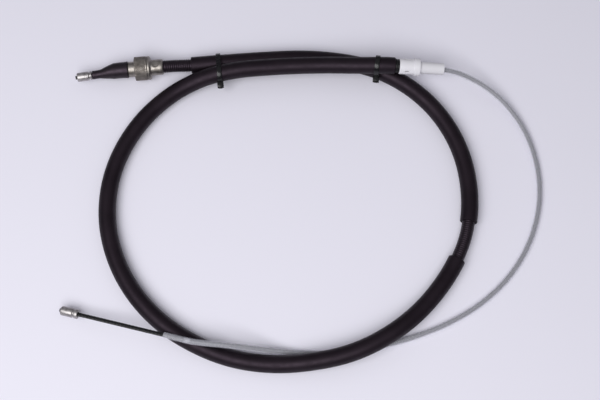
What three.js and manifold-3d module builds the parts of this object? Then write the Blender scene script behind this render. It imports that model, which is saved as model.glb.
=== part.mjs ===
// A car's parking brake cable, coiled and tied for sale. Millimetres, +Z up.
// The coil lies on the plane z = 0, with +X to the right and +Y away from the viewer.
// From the brake end to the lever end: nipple, rubber boot, steel ferrule, ribbed casing in two
// hoses, white guide bush, clear guide tube, and the other end of the wire with its nipple.
import * as THREE from 'three';
import { mergeVertices } from 'three/addons/utils/BufferGeometryUtils.js';
import Module from 'manifold-3d';

const wasm = await Module();
wasm.setup();

// Gap between pieces that touch on the real cable
const CLEARANCE = 0.3;

// Wire rope and the layers around it
const WIRE_DIAMETER = 3;
const LINER_WALL = 0.55;
const ARMOUR_WALL = 0.85;
const JACKET_WALL = 1;
const HOSE_SLACK = 0.4;
const HOSE_WALL = 1.3;
const TUBE_WALL = 0.45;

// Where the rigid ends lie: a point on each axis, its heading from +X towards +Y, and its fall
const FERRULE_PLACE = new THREE.Vector3(-131.9, 110.95, 9.5);
const FERRULE_HEADING = 5.3;
const BUSH_PLACE = new THREE.Vector3(70.1, 108, 21.6);
const BUSH_HEADING = -2.1;
const BUSH_FALL = 4.5;
const MOUTH_PLACE = new THREE.Vector3(-101, -101.5, 14.3);
const MOUTH_HEADING = 165.3;
const MOUTH_FALL = 5.7;

// The wire leans over inside the neck, which it crosses behind the collar's front face
const BRAKE_WIRE_HEADING = 9.7;
const BRAKE_WIRE_PIVOT = -5;
const BRAKE_WIRE_INNER_END = -8;

// The casing's way from the ferrule to the guide bush: along the top, down the right side,
// over the guide tube, around the left side and back along the top over itself
const CASING_POINTS = [
  [-102, 113.8, 9], [-89, 114.6, 8.5], [-66, 116.5, 8.6], [-34.5, 119, 8.5], [-3, 120.4, 8.4],
  [20.5, 119, 8.4], [44.5, 114.5, 8.6], [63.5, 107.4, 8.6], [83.4, 95.3, 7.6], [100.4, 79, 6.7],
  [113.5, 58.5, 6.5], [121.8, 35.5, 6.5], [125, 11, 6.5], [123.7, -11.3, 6.5], [118.5, -31.3, 6.5],
  [106.5, -54.8, 6.9], [86.3, -80.4, 9], [62.5, -100, 11.8], [35.7, -113.4, 12], [7, -119.8, 9.9],
  [-22.8, -121.2, 6.9], [-52, -117, 6.5], [-79.4, -106.4, 6.5], [-103.5, -91, 6.5],
  [-123.6, -70.3, 6.5], [-138.6, -44.8, 6.5], [-147, -15.7, 6.5], [-147.2, 14.2, 6.5],
  [-140, 41.5, 6.5], [-124.7, 68.5, 6.5], [-105.3, 88.1, 7.2], [-88.6, 98, 9.6], [-72, 103.4, 13.5],
  [-51, 106.9, 16.5], [-26.3, 109.1, 17], [-3, 110.2, 17.3], [20.2, 110.1, 18.5], [38.7, 109, 20.3],
  [56.4, 108.3, 21.9],
];

// The guide tube's way from the bush to its mouth: down to the table, under the hose at the
// lower right, then up and over the hose at the lower left
const TUBE_POINTS = [
  [108.8, 106.3, 17.9], [123.5, 103.8, 14], [143.2, 94.5, 8.8], [159.3, 79.8, 5.1],
  [171.6, 59.3, 3], [178.3, 34.7, 2.3], [179, 9.2, 2.3], [174, -15.1, 2.3], [164.2, -37.4, 2.3],
  [149.3, -58, 2.3], [129.4, -76, 2.3], [106.5, -89.7, 2.3], [80.8, -100.2, 2.3],
  [52.2, -108, 2.3], [24.6, -112, 2.4], [-1.6, -112.2, 2.9], [-21, -111.4, 6.2],
  [-39, -110.4, 11.8], [-54.5, -109.4, 15.7], [-69, -108.3, 17],
];

// Places along the cable, from the collar's front face and from the casing's other end
const BRAKE_HOSE_START = 44;
const BRAKE_HOSE_LENGTH = 299;
const HOSE_GAP = 31;
const LINER_REACH = 8;
const CASING_STEP = 26;
const TUBE_STEP = 14;

// Travel of the wire each way, and how far its moving ends reach into the tube and the ferrule
const PULL_TRAVEL = 12;
const SLACK_TRAVEL = 4;
const END_RESERVE = 1;
const MOUTH_REACH = 15;
const LEVER_WIRE_EXPOSED = 66.1;
const WIRE_STUB = 1.3;

// Steel ferrule, measured along its axis from the collar's front face
const SPIGOT_DIAMETER = 10;
const SPIGOT_LENGTH = 8.5;
const SPIGOT_GROOVE_DEPTH = 0.6;
const SPIGOT_GROOVE_WIDTH = 2;
const NECK_DIAMETER = 12;
const NECK_LENGTH = 5.1;
const COLLAR_DIAMETER = 18.8;
const COLLAR_WIDTH = 9.6;
const FLANGE_DIAMETER = 18.6;
const FLANGE_WIDTH = 2.4;
const SLEEVE_WALL = 1;
const SLEEVE_LENGTH = 9.7;
const EDGE_CHAMFER = 0.4;

// Rubber boot
const BOOT_LENGTH = 28;
const BOOT_LIP_DIAMETER = 6.7;
const BOOT_LIP_LENGTH = 7.4;
const BOOT_CONE_LENGTH = 8.5;
const BOOT_WIDE_DIAMETER = 12.9;
const BOOT_SHOULDER = 1;

// Nipples cast on the wire
const NIPPLE_DIAMETER = 7;
const NIPPLE_BARREL_LENGTH = 9;
const NIPPLE_GROOVE_DIAMETER = 5.6;
const NIPPLE_GROOVE_LENGTH = 1.2;
const LEVER_NIPPLE_COLLAR_LENGTH = 2.8;
const BRAKE_NIPPLE_COLLAR_LENGTH = 1.1;

// Black end plug of the casing
const PLUG_SPIGOT_LENGTH = 6;
const PLUG_FLANGE_DIAMETER = 10.9;
const PLUG_FLANGE_LENGTH = 2.75;
const PLUG_NOSE_DIAMETER = 9;
const PLUG_NOSE_LENGTH = 11.4;

// White guide bush
const BUSH_BODY_DIAMETER = 12.1;
const BUSH_BODY_LENGTH = 11.7;
const BUSH_RING_DIAMETER = 13.7;
const BUSH_RING_LENGTH = 4.3;
const BUSH_SLEEVE_DIAMETER = 9.3;
const BUSH_SLEEVE_LENGTH = 18.7;
const BUSH_SLEEVE_BORE = 7.8;
const WINDOW_PLACE = 7.4;
const WINDOW_LENGTH = 7.2;
const WINDOW_WIDTH = 2.8;
const WINDOW_ANGLE = -46;
const SLIT_PLACE = 5.8;
const SLIT_LENGTH = 3.1;
const SLIT_WIDTH = 0.9;
const SLIT_ANGLE = 66;

// Cable ties
const LEFT_TIE_AT = 65.5;
const LEFT_TIE_SKEW = 0.05;
const LEFT_TIE_HEAD_TURN = 37;
const LEFT_TIE_HEAD_BACK = 0;
const RIGHT_TIE_AT = 191;
const RIGHT_TIE_SKEW = 0.7;
const RIGHT_TIE_HEAD_TURN = 90;
const RIGHT_TIE_HEAD_BACK = 0.5;
const TIE_CLEARANCE = 0.9;
const TIE_WIDTH = 3.6;
const TIE_THICKNESS = 1;
const TIE_HEAD_WIDTH = 4.8;
const TIE_HEAD_LENGTH = 4.6;
const TIE_HEAD_HEIGHT = 4.2;
const TIE_SLOT_WALL = 1;
const TIE_SLOT_DEPTH = 1.2;
const TIE_TAIL_REACH = 0.8;

// Sides of the round sections
const CASING_SIDES = 10;
const WIRE_SIDES = 8;
const TURNED_SIDES = 32;

// Radii worked out from the wire outwards
const wireRadius = WIRE_DIAMETER / 2;
const linerBore = wireRadius + CLEARANCE;
const linerRadius = linerBore + LINER_WALL;
const armourBore = linerRadius + CLEARANCE;
const armourRadius = armourBore + ARMOUR_WALL;
const jacketBore = armourRadius + CLEARANCE;
const jacketRadius = jacketBore + JACKET_WALL;
const hoseBore = jacketRadius + HOSE_SLACK;
const hoseRadius = hoseBore + HOSE_WALL;
const tubeRadius = linerBore + TUBE_WALL;

// Colour, roughness and metalness of each kind of surface
function finish(color, roughness, metalness) {
  return () => new THREE.MeshStandardMaterial({ color, roughness, metalness });
}

const blackRubber = finish(0x1b1a1d, 0.72, 0);
const hoseBlack = finish(0x1f1e21, 0.62, 0);
const blackPlastic = finish(0x161618, 0.42, 0);
const whitePlastic = finish(0xf2f1f4, 0.35, 0);
const milkyPlastic = finish(0xc9cbd6, 0.3, 0);
const linerPlastic = finish(0xe6e6e2, 0.4, 0);
const zincPlate = finish(0xa8a49c, 0.34, 0.9);
const brightZinc = finish(0xc9c9c9, 0.28, 0.9);
const springSteel = finish(0x8c8c8c, 0.4, 0.9);
const oiledRope = finish(0x202022, 0.35, 0.6);

const cable = new THREE.Group();

function addPiece(name, geometry, makeMaterial, parent = cable) {
  const mesh = new THREE.Mesh(geometry, makeMaterial());
  mesh.name = name;
  parent.add(mesh);
  return mesh;
}

// The unit vector of a heading in the XY plane that falls by some degrees
function headingVector(heading, fall) {
  const turn = THREE.MathUtils.degToRad(heading);
  const drop = THREE.MathUtils.degToRad(fall);
  const level = Math.cos(drop);
  return new THREE.Vector3(Math.cos(turn) * level, Math.sin(turn) * level, -Math.sin(drop));
}

const ferruleDirection = headingVector(FERRULE_HEADING, 0);
const bushDirection = headingVector(BUSH_HEADING, BUSH_FALL);
const mouthDirection = headingVector(MOUTH_HEADING, MOUTH_FALL);
const brakeWireDirection = headingVector(BRAKE_WIRE_HEADING, 0);

function alongAxis(place, direction, distance) {
  return place.clone().addScaledVector(direction, distance);
}

// The ferrule, bush and mouth keep the route straight through them, with four points in line
const spigotFront = -NECK_LENGTH - SPIGOT_LENGTH;
const ferruleStations = [spigotFront - CLEARANCE, -2, 10, 22];
const bushStations = [-PLUG_SPIGOT_LENGTH, 0, 12, 21];
const mouthStations = [-20, -13, -6, 0];

const routePoints = [
  ...ferruleStations.map((distance) => alongAxis(FERRULE_PLACE, ferruleDirection, distance)),
  ...CASING_POINTS.map((xyz) => new THREE.Vector3(...xyz)),
  ...bushStations.map((distance) => alongAxis(BUSH_PLACE, bushDirection, distance)),
  ...TUBE_POINTS.map((xyz) => new THREE.Vector3(...xyz)),
  ...mouthStations.map((distance) => alongAxis(MOUTH_PLACE, mouthDirection, distance)),
];

const SAMPLES_PER_SPAN = 60;
const route = new THREE.CatmullRomCurve3(routePoints, false, 'centripetal');
route.arcLengthDivisions = (routePoints.length - 1) * SAMPLES_PER_SPAN;

// Distances along the route, from its start in front of the spigot
const routeLengths = route.getLengths();
const routeLength = route.getLength();
const collarPlace = -ferruleStations[0];
const casingEndIndex = ferruleStations.length + CASING_POINTS.length + 1;
const casingEnd = routeLengths[casingEndIndex * SAMPLES_PER_SPAN];

function routePoint(distance) {
  return route.getPointAt(distance / routeLength);
}

function routeTangent(distance) {
  return route.getTangentAt(distance / routeLength);
}

// Where each layer starts and ends
const shoulderPlace = collarPlace + COLLAR_WIDTH + CLEARANCE + FLANGE_WIDTH;
const jacketStart = shoulderPlace + CLEARANCE;
const linerStart = collarPlace + BRAKE_WIRE_INNER_END + PULL_TRAVEL + END_RESERVE;
const brakeHoseStart = collarPlace + BRAKE_HOSE_START;
const brakeHoseEnd = brakeHoseStart + BRAKE_HOSE_LENGTH;
const leverHoseStart = brakeHoseEnd + HOSE_GAP;
const armourEnd = casingEnd - PLUG_SPIGOT_LENGTH - CLEARANCE;
const linerEnd = casingEnd + LINER_REACH;
const tubeStart = linerEnd + CLEARANCE;
const middleWireStart = linerStart + END_RESERVE;
const middleWireEnd = routeLength - MOUTH_REACH - SLACK_TRAVEL - END_RESERVE;

// Stations that every layer shares, so that nested layers bend alike and never meet
function fillStations(places) {
  const sorted = [...places].sort((a, b) => a - b);
  const stations = [sorted[0]];
  for (let i = 1; i < sorted.length; i += 1) {
    const from = sorted[i - 1];
    const span = sorted[i] - from;
    const step = sorted[i] > casingEnd ? TUBE_STEP : CASING_STEP;
    const count = Math.max(1, Math.ceil(span / step));
    for (let k = 1; k <= count; k += 1) {
      stations.push(from + (span * k) / count);
    }
  }
  return stations;
}

const sharedStations = fillStations([
  linerStart, middleWireStart, jacketStart, brakeHoseStart, brakeHoseEnd, leverHoseStart,
  armourEnd, casingEnd, linerEnd, tubeStart, middleWireEnd, routeLength,
]);

const UP = new THREE.Vector3(0, 0, 1);

// Side and upper directions of a section that is square to a tangent
function sectionFrame(tangent) {
  const side = new THREE.Vector3().crossVectors(UP, tangent).normalize();
  const upper = new THREE.Vector3().crossVectors(tangent, side).normalize();
  return { side, upper };
}

// A stretch of cable through given points, with every section kept upright
class UprightPath extends THREE.Curve {
  constructor(points, tangents) {
    super();
    this.points = points;
    this.tangents = tangents;
  }

  getSpacedPoints() {
    return this.points;
  }

  computeFrenetFrames() {
    const frames = this.tangents.map(sectionFrame);
    return {
      tangents: this.tangents,
      normals: frames.map((frame) => frame.side),
      binormals: frames.map((frame) => frame.upper),
    };
  }
}

function routePath(from, to) {
  const margin = 1e-6;
  const inside = sharedStations.filter((place) => place > from - margin && place < to + margin);
  return new UprightPath(inside.map(routePoint), inside.map(routeTangent));
}

function straightPath(place, direction, from, to) {
  const ends = [from, to].map((distance) => alongAxis(place, direction, distance));
  return new UprightPath(ends, [direction, direction]);
}

// A regular polygon with a corner straight below its centre
function polygonPoints(radius, sides) {
  const points = [];
  for (let i = 0; i < sides; i += 1) {
    const angle = -Math.PI / 2 + (i * 2 * Math.PI) / sides;
    points.push(new THREE.Vector2(radius * Math.cos(angle), radius * Math.sin(angle)));
  }
  return points;
}

function sweptRod(path, radius, sides) {
  const section = new THREE.Shape(polygonPoints(radius, sides));
  const steps = path.points.length - 1;
  return new THREE.ExtrudeGeometry(section, { steps, extrudePath: path });
}

function sweptPipe(path, radius, bore, sides) {
  const section = new THREE.Shape(polygonPoints(radius, sides));
  section.holes.push(new THREE.Path(polygonPoints(bore, sides)));
  const steps = path.points.length - 1;
  return new THREE.ExtrudeGeometry(section, { steps, extrudePath: path });
}

// A closed outline of [distance along the axis, radius] turned about local +Z
function turned(outline, sides = TURNED_SIDES) {
  const loop = [...outline, outline[0]];
  let area = 0;
  for (let i = 1; i < loop.length; i += 1) {
    area += loop[i - 1][0] * loop[i][1] - loop[i][0] * loop[i - 1][1];
  }
  const ordered = area > 0 ? loop.reverse() : loop;
  const points = ordered.map(([distance, radius]) => new THREE.Vector2(radius, distance));
  const geometry = new THREE.LatheGeometry(points, sides);
  geometry.rotateX(Math.PI / 2);
  return geometry;
}

// A group whose local +Z runs along an axis, with its local +Y up
function axisGroup(place, direction) {
  const { side, upper } = sectionFrame(direction);
  const group = new THREE.Group();
  group.quaternion.setFromRotationMatrix(new THREE.Matrix4().makeBasis(side, upper, direction));
  group.position.copy(place);
  cable.add(group);
  return group;
}

// Casing layers, hoses and guide tube
function addFlexiblePieces() {
  const casing = routePath(jacketStart, casingEnd);
  const armour = routePath(jacketStart, armourEnd);
  const liner = routePath(linerStart, linerEnd);
  const wire = routePath(middleWireStart, middleWireEnd);
  const brakeHose = routePath(brakeHoseStart, brakeHoseEnd);
  const leverHose = routePath(leverHoseStart, casingEnd);
  const tube = routePath(tubeStart, routeLength);
  addPiece('conduit_jacket', sweptPipe(casing, jacketRadius, jacketBore, CASING_SIDES), blackPlastic);
  addPiece('conduit_armour', sweptPipe(armour, armourRadius, armourBore, CASING_SIDES), springSteel);
  addPiece('conduit_liner', sweptPipe(liner, linerRadius, linerBore, WIRE_SIDES), linerPlastic);
  addPiece('inner_wire', sweptRod(wire, wireRadius, WIRE_SIDES), oiledRope);
  addPiece('brake_side_hose', sweptPipe(brakeHose, hoseRadius, hoseBore, CASING_SIDES), hoseBlack);
  addPiece('lever_side_hose', sweptPipe(leverHose, hoseRadius, hoseBore, CASING_SIDES), hoseBlack);
  addPiece('guide_tube', sweptPipe(tube, tubeRadius, linerBore, WIRE_SIDES), milkyPlastic);
}

// Ferrule: spigot for the boot, neck, flange behind the collar, and sleeve crimped on the casing
function ferruleOutline() {
  const spigotRadius = SPIGOT_DIAMETER / 2;
  const grooveRadius = spigotRadius - SPIGOT_GROOVE_DEPTH;
  const grooveStart = spigotFront + SPIGOT_LENGTH / 2;
  const neckRadius = NECK_DIAMETER / 2;
  const flangeRadius = FLANGE_DIAMETER / 2;
  const flangeFront = COLLAR_WIDTH + CLEARANCE;
  const flangeBack = flangeFront + FLANGE_WIDTH;
  const sleeveBore = jacketRadius + CLEARANCE;
  const sleeveRadius = sleeveBore + SLEEVE_WALL;
  const sleeveBack = flangeBack + SLEEVE_LENGTH;
  const frontBore = linerRadius + CLEARANCE;
  return [
    [spigotFront, frontBore],
    [spigotFront, spigotRadius - EDGE_CHAMFER],
    [spigotFront + EDGE_CHAMFER, spigotRadius],
    [grooveStart, spigotRadius],
    [grooveStart, grooveRadius],
    [grooveStart + SPIGOT_GROOVE_WIDTH, grooveRadius],
    [grooveStart + SPIGOT_GROOVE_WIDTH, spigotRadius],
    [-NECK_LENGTH, spigotRadius],
    [-NECK_LENGTH, neckRadius - EDGE_CHAMFER],
    [-NECK_LENGTH + EDGE_CHAMFER, neckRadius],
    [flangeFront, neckRadius],
    [flangeFront, flangeRadius],
    [flangeBack - 2 * EDGE_CHAMFER, flangeRadius],
    [flangeBack, flangeRadius - 2 * EDGE_CHAMFER],
    [flangeBack, sleeveRadius],
    [sleeveBack - EDGE_CHAMFER, sleeveRadius],
    [sleeveBack, sleeveRadius - EDGE_CHAMFER],
    [sleeveBack, sleeveBore],
    [flangeBack, sleeveBore],
    [flangeBack, frontBore],
  ];
}

function collarOutline() {
  const bore = NECK_DIAMETER / 2 + CLEARANCE;
  const radius = COLLAR_DIAMETER / 2;
  return [
    [0, bore],
    [0, radius - EDGE_CHAMFER],
    [EDGE_CHAMFER, radius],
    [COLLAR_WIDTH - EDGE_CHAMFER, radius],
    [COLLAR_WIDTH, radius - EDGE_CHAMFER],
    [COLLAR_WIDTH, bore],
  ];
}

// Boot: a lip that grips the wire, a cone, and a wide end held in the spigot's groove
const bootBack = -NECK_LENGTH - CLEARANCE;
const bootMouth = bootBack - BOOT_LENGTH;
const bootLipEnd = bootMouth + BOOT_LIP_LENGTH;
const bootConeEnd = bootLipEnd + BOOT_CONE_LENGTH;

function bootOutline() {
  const lipBore = wireRadius + CLEARANCE;
  const lipRadius = BOOT_LIP_DIAMETER / 2;
  const wideBore = SPIGOT_DIAMETER / 2 + CLEARANCE;
  const wideRadius = BOOT_WIDE_DIAMETER / 2;
  const beadBore = wideBore - SPIGOT_GROOVE_DEPTH;
  const beadStart = spigotFront + SPIGOT_LENGTH / 2 + CLEARANCE;
  const beadEnd = beadStart + SPIGOT_GROOVE_WIDTH - 2 * CLEARANCE;
  return [
    [bootMouth, lipBore],
    [bootMouth, lipRadius],
    [bootMouth + BOOT_LIP_LENGTH / 2, lipRadius + 0.05],
    [bootLipEnd, lipRadius + 0.35],
    [bootConeEnd - BOOT_SHOULDER, wideRadius - 0.9],
    [bootConeEnd + BOOT_SHOULDER, wideRadius - 0.5],
    [bootConeEnd + 4 * BOOT_SHOULDER, wideRadius - 0.25],
    [bootBack - BOOT_SHOULDER, wideRadius],
    [bootBack, wideRadius],
    [bootBack, wideBore],
    [beadEnd, wideBore],
    [beadEnd, beadBore],
    [beadStart, beadBore],
    [beadStart, wideBore],
    [spigotFront - CLEARANCE, wideBore],
    [bootConeEnd, wideBore - 0.7],
    [bootLipEnd + BOOT_SHOULDER, lipBore + 0.2],
    [bootLipEnd, lipBore],
  ];
}

// Moves the boot's sections sideways, none at the spigot and onto the leaning wire by the lip
function leanOverWire(geometry) {
  const lean = Math.tan(THREE.MathUtils.degToRad(BRAKE_WIRE_HEADING - FERRULE_HEADING));
  const bendStart = spigotFront - CLEARANCE;
  const position = geometry.attributes.position;
  for (let i = 0; i < position.count; i += 1) {
    const z = position.getZ(i);
    const share = THREE.MathUtils.clamp((z - bendStart) / (bootLipEnd - bendStart), 0, 1);
    position.setX(i, position.getX(i) + share * lean * (z - BRAKE_WIRE_PIVOT));
  }
  geometry.computeVertexNormals();
  return geometry;
}

// Nipple, from its collar's bearing face to the end that the wire pokes through
function nippleOutline(collarLength) {
  const bore = wireRadius + CLEARANCE;
  const radius = NIPPLE_DIAMETER / 2;
  const grooveRadius = NIPPLE_GROOVE_DIAMETER / 2;
  const grooveEnd = collarLength + NIPPLE_GROOVE_LENGTH;
  const end = grooveEnd + NIPPLE_BARREL_LENGTH;
  return [
    [0, bore],
    [0, radius - EDGE_CHAMFER],
    [EDGE_CHAMFER, radius],
    [collarLength, radius],
    [collarLength, grooveRadius],
    [grooveEnd, grooveRadius],
    [grooveEnd, radius],
    [end - EDGE_CHAMFER, radius],
    [end, radius - EDGE_CHAMFER],
    [end, bore],
  ];
}

function nippleLength(collarLength) {
  return collarLength + NIPPLE_GROOVE_LENGTH + NIPPLE_BARREL_LENGTH;
}

// The ferrule's end of the cable, out to the brake's nipple
function addBrakeEnd() {
  const ferrule = axisGroup(FERRULE_PLACE, ferruleDirection);
  addPiece('end_ferrule', turned(ferruleOutline()), zincPlate, ferrule);
  addPiece('knurled_collar', turned(collarOutline()), zincPlate, ferrule);
  addPiece('dust_boot', leanOverWire(turned(bootOutline())), blackRubber, ferrule);

  const pivot = alongAxis(FERRULE_PLACE, ferruleDirection, BRAKE_WIRE_PIVOT);
  const outward = brakeWireDirection.clone().negate();
  const bearingFace = BRAKE_WIRE_PIVOT - bootMouth + 2 * CLEARANCE;
  const nipple = axisGroup(alongAxis(pivot, outward, bearingFace), outward);
  const outline = nippleOutline(BRAKE_NIPPLE_COLLAR_LENGTH);
  addPiece('brake_end_nipple', turned(outline), brightZinc, nipple);

  const wireEnd = bearingFace + nippleLength(BRAKE_NIPPLE_COLLAR_LENGTH) + WIRE_STUB;
  const innerEnd = BRAKE_WIRE_INNER_END - BRAKE_WIRE_PIVOT;
  const path = straightPath(pivot, brakeWireDirection, -wireEnd, innerEnd);
  addPiece('brake_end_wire', sweptRod(path, wireRadius, WIRE_SIDES), oiledRope);
}

// The bare end of the wire beyond the guide tube's mouth, and its nipple
function addLeverEnd() {
  const nipple = axisGroup(alongAxis(MOUTH_PLACE, mouthDirection, LEVER_WIRE_EXPOSED), mouthDirection);
  const outline = nippleOutline(LEVER_NIPPLE_COLLAR_LENGTH);
  addPiece('lever_end_nipple', turned(outline), brightZinc, nipple);
  const wireEnd = LEVER_WIRE_EXPOSED + nippleLength(LEVER_NIPPLE_COLLAR_LENGTH) + WIRE_STUB;
  const path = straightPath(MOUTH_PLACE, mouthDirection, -MOUTH_REACH, wireEnd);
  addPiece('lever_end_wire', sweptRod(path, wireRadius, WIRE_SIDES), oiledRope);
}

// Solid for cutting or joining, from a closed geometry
function toSolid(geometry) {
  const bare = geometry.clone();
  bare.deleteAttribute('normal');
  bare.deleteAttribute('uv');
  const merged = mergeVertices(bare, 1e-5);
  const vertProperties = new Float32Array(merged.attributes.position.array);
  const triVerts = new Uint32Array(merged.index.array);
  return new wasm.Manifold(new wasm.Mesh({ numProp: 3, vertProperties, triVerts }));
}

function toGeometry(solid) {
  const mesh = solid.getMesh();
  const geometry = new THREE.BufferGeometry();
  geometry.setAttribute('position', new THREE.BufferAttribute(mesh.vertProperties, 3));
  geometry.setIndex(new THREE.BufferAttribute(mesh.triVerts, 1));
  geometry.computeVertexNormals();
  return geometry;
}

// Black plug: a spigot inside the casing, a flange against it, and a nose inside the bush
function plugOutline() {
  const bore = linerRadius + CLEARANCE;
  const spigotRadius = jacketBore - CLEARANCE;
  const flangeRadius = PLUG_FLANGE_DIAMETER / 2;
  const noseRadius = PLUG_NOSE_DIAMETER / 2;
  const flangeFront = CLEARANCE + PLUG_FLANGE_LENGTH;
  const noseFront = flangeFront + PLUG_NOSE_LENGTH;
  return [
    [-PLUG_SPIGOT_LENGTH, bore],
    [-PLUG_SPIGOT_LENGTH, spigotRadius],
    [CLEARANCE, spigotRadius],
    [CLEARANCE, flangeRadius],
    [flangeFront, flangeRadius],
    [flangeFront, noseRadius],
    [noseFront - EDGE_CHAMFER, noseRadius],
    [noseFront, noseRadius - EDGE_CHAMFER],
    [noseFront, bore],
  ];
}

const bushStart = 2 * CLEARANCE + PLUG_FLANGE_LENGTH;

function bushOutline() {
  const socketBore = PLUG_NOSE_DIAMETER / 2 + CLEARANCE;
  const socketEnd = bushStart + PLUG_NOSE_LENGTH + CLEARANCE;
  const tubeBore = tubeRadius + CLEARANCE;
  const bodyEnd = bushStart + BUSH_BODY_LENGTH;
  const ringEnd = bodyEnd + BUSH_RING_LENGTH;
  const sleeveEnd = ringEnd + BUSH_SLEEVE_LENGTH;
  const bodyRadius = BUSH_BODY_DIAMETER / 2;
  const ringRadius = BUSH_RING_DIAMETER / 2;
  const sleeveRadius = BUSH_SLEEVE_DIAMETER / 2;
  return [
    [bushStart, socketBore],
    [bushStart, bodyRadius],
    [bodyEnd, bodyRadius],
    [bodyEnd, ringRadius - EDGE_CHAMFER],
    [bodyEnd + EDGE_CHAMFER, ringRadius],
    [ringEnd - EDGE_CHAMFER, ringRadius],
    [ringEnd, ringRadius - EDGE_CHAMFER],
    [ringEnd, sleeveRadius],
    [sleeveEnd, sleeveRadius],
    [sleeveEnd, BUSH_SLEEVE_BORE / 2],
    [ringEnd, BUSH_SLEEVE_BORE / 2],
    [ringEnd, tubeBore],
    [socketEnd, tubeBore],
    [socketEnd, socketBore],
  ];
}

// A box that cuts a window through the bush's wall, `place` behind the bush's start and turned
// about the axis from straight up
function windowCutter(place, length, width, angle) {
  const inner = PLUG_NOSE_DIAMETER / 2;
  const outer = BUSH_BODY_DIAMETER / 2 + 1;
  const box = new THREE.BoxGeometry(width, outer - inner, length);
  box.translate(0, (inner + outer) / 2, bushStart + place);
  box.rotateZ(THREE.MathUtils.degToRad(angle));
  return toSolid(box);
}

function addBush() {
  const bush = axisGroup(BUSH_PLACE, bushDirection);
  addPiece('casing_end_plug', turned(plugOutline()), blackPlastic, bush);
  const body = toSolid(turned(bushOutline()))
    .subtract(windowCutter(WINDOW_PLACE, WINDOW_LENGTH, WINDOW_WIDTH, WINDOW_ANGLE))
    .subtract(windowCutter(SLIT_PLACE, SLIT_LENGTH, SLIT_WIDTH, SLIT_ANGLE));
  addPiece('white_guide_bush', toGeometry(body), whitePlastic, bush);
}

// The distance along the lever hose that lies nearest to a point on the brake hose
function nearestOnLeverHose(point) {
  let best = leverHoseStart;
  let bestGap = Infinity;
  for (let place = leverHoseStart; place < casingEnd; place += 0.25) {
    const gap = routePoint(place).distanceTo(point);
    if (gap < bestGap) {
      bestGap = gap;
      best = place;
    }
  }
  return best;
}

// Outline of a strap pulled around two circles whose centres are `apart` apart along +X
function strapOutline(radius, apart) {
  const shape = new THREE.Shape();
  shape.absarc(apart, 0, radius, -Math.PI / 2, Math.PI / 2, false);
  shape.absarc(0, 0, radius, Math.PI / 2, 1.5 * Math.PI, false);
  shape.closePath();
  return shape;
}

// A tie around both hoses. Its head sits on the strap, `back` from the upper hose's centre and
// turned from the line between the hoses by `turn` degrees.
function tieGeometry(apart, turn, back) {
  const inner = hoseRadius + TIE_CLEARANCE;
  const outer = inner + TIE_THICKNESS;
  const ring = strapOutline(outer, apart);
  ring.holes.push(new THREE.Path(strapOutline(inner, apart).getPoints(8)));
  const strap = new THREE.ExtrudeGeometry(ring, { depth: TIE_WIDTH, bevelEnabled: false, curveSegments: 8 });
  strap.translate(0, 0, -TIE_WIDTH / 2);

  const headFoot = inner + TIE_THICKNESS / 3;
  const headTop = headFoot + TIE_HEAD_HEIGHT;
  const head = new THREE.BoxGeometry(TIE_HEAD_HEIGHT, TIE_HEAD_LENGTH, TIE_HEAD_WIDTH);
  head.translate((headFoot + headTop) / 2, 0, 0);
  const slot = new THREE.BoxGeometry(2 * TIE_SLOT_DEPTH, TIE_HEAD_LENGTH - 2 * TIE_SLOT_WALL, TIE_WIDTH);
  slot.translate(headTop, 0, 0);
  const tailFoot = headTop - TIE_SLOT_DEPTH - 0.5;
  const tailTop = headTop + TIE_TAIL_REACH;
  const tail = new THREE.BoxGeometry(tailTop - tailFoot, TIE_THICKNESS, TIE_WIDTH - 0.8);
  tail.translate((tailFoot + tailTop) / 2, 0, 0);

  const place = new THREE.Matrix4().makeTranslation(apart - back, 0, 0);
  place.multiply(new THREE.Matrix4().makeRotationZ(THREE.MathUtils.degToRad(turn)));
  for (const piece of [head, slot, tail]) {
    piece.applyMatrix4(place);
  }
  const solid = toSolid(strap).add(toSolid(head)).subtract(toSolid(slot)).add(toSolid(tail));
  return toGeometry(solid);
}

// The strap's plane is square to a mean of the two hoses' directions, `skew` of it the upper one's
function addTie(name, distance, skew, turn, backShare) {
  const lowerPlace = collarPlace + distance;
  const lower = routePoint(lowerPlace);
  const upperPlace = nearestOnLeverHose(lower);
  const upper = routePoint(upperPlace);
  const across = new THREE.Vector3().subVectors(upper, lower);
  const apart = across.length();
  across.normalize();
  const forward = routeTangent(lowerPlace).lerp(routeTangent(upperPlace), skew);
  forward.addScaledVector(across, -forward.dot(across)).normalize();
  const third = new THREE.Vector3().crossVectors(forward, across);
  const group = new THREE.Group();
  group.quaternion.setFromRotationMatrix(new THREE.Matrix4().makeBasis(across, third, forward));
  group.position.copy(lower);
  cable.add(group);
  addPiece(name, tieGeometry(apart, turn, apart * backShare), blackPlastic, group);
}

addFlexiblePieces();
addBrakeEnd();
addLeverEnd();
addBush();
addTie('cable_tie_left', LEFT_TIE_AT, LEFT_TIE_SKEW, LEFT_TIE_HEAD_TURN, LEFT_TIE_HEAD_BACK);
addTie('cable_tie_right', RIGHT_TIE_AT, RIGHT_TIE_SKEW, RIGHT_TIE_HEAD_TURN, RIGHT_TIE_HEAD_BACK);

export default cable;
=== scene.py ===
# %% [markdown]
# # A parking brake cable, coiled and tied
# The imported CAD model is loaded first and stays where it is. Everything made here lies over it in
# the same frame, in metres, with +Z up. The real thing is one long flexible cable with stiff
# fittings at its ends, so the lesson makes the camera and the cable's route first, then the long
# bendy pieces, then the turned fittings, and the finishes and the light last.

# %% Load the frame
import bisect
import math

import bmesh
import bpy
from mathutils import Matrix, Vector


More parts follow.
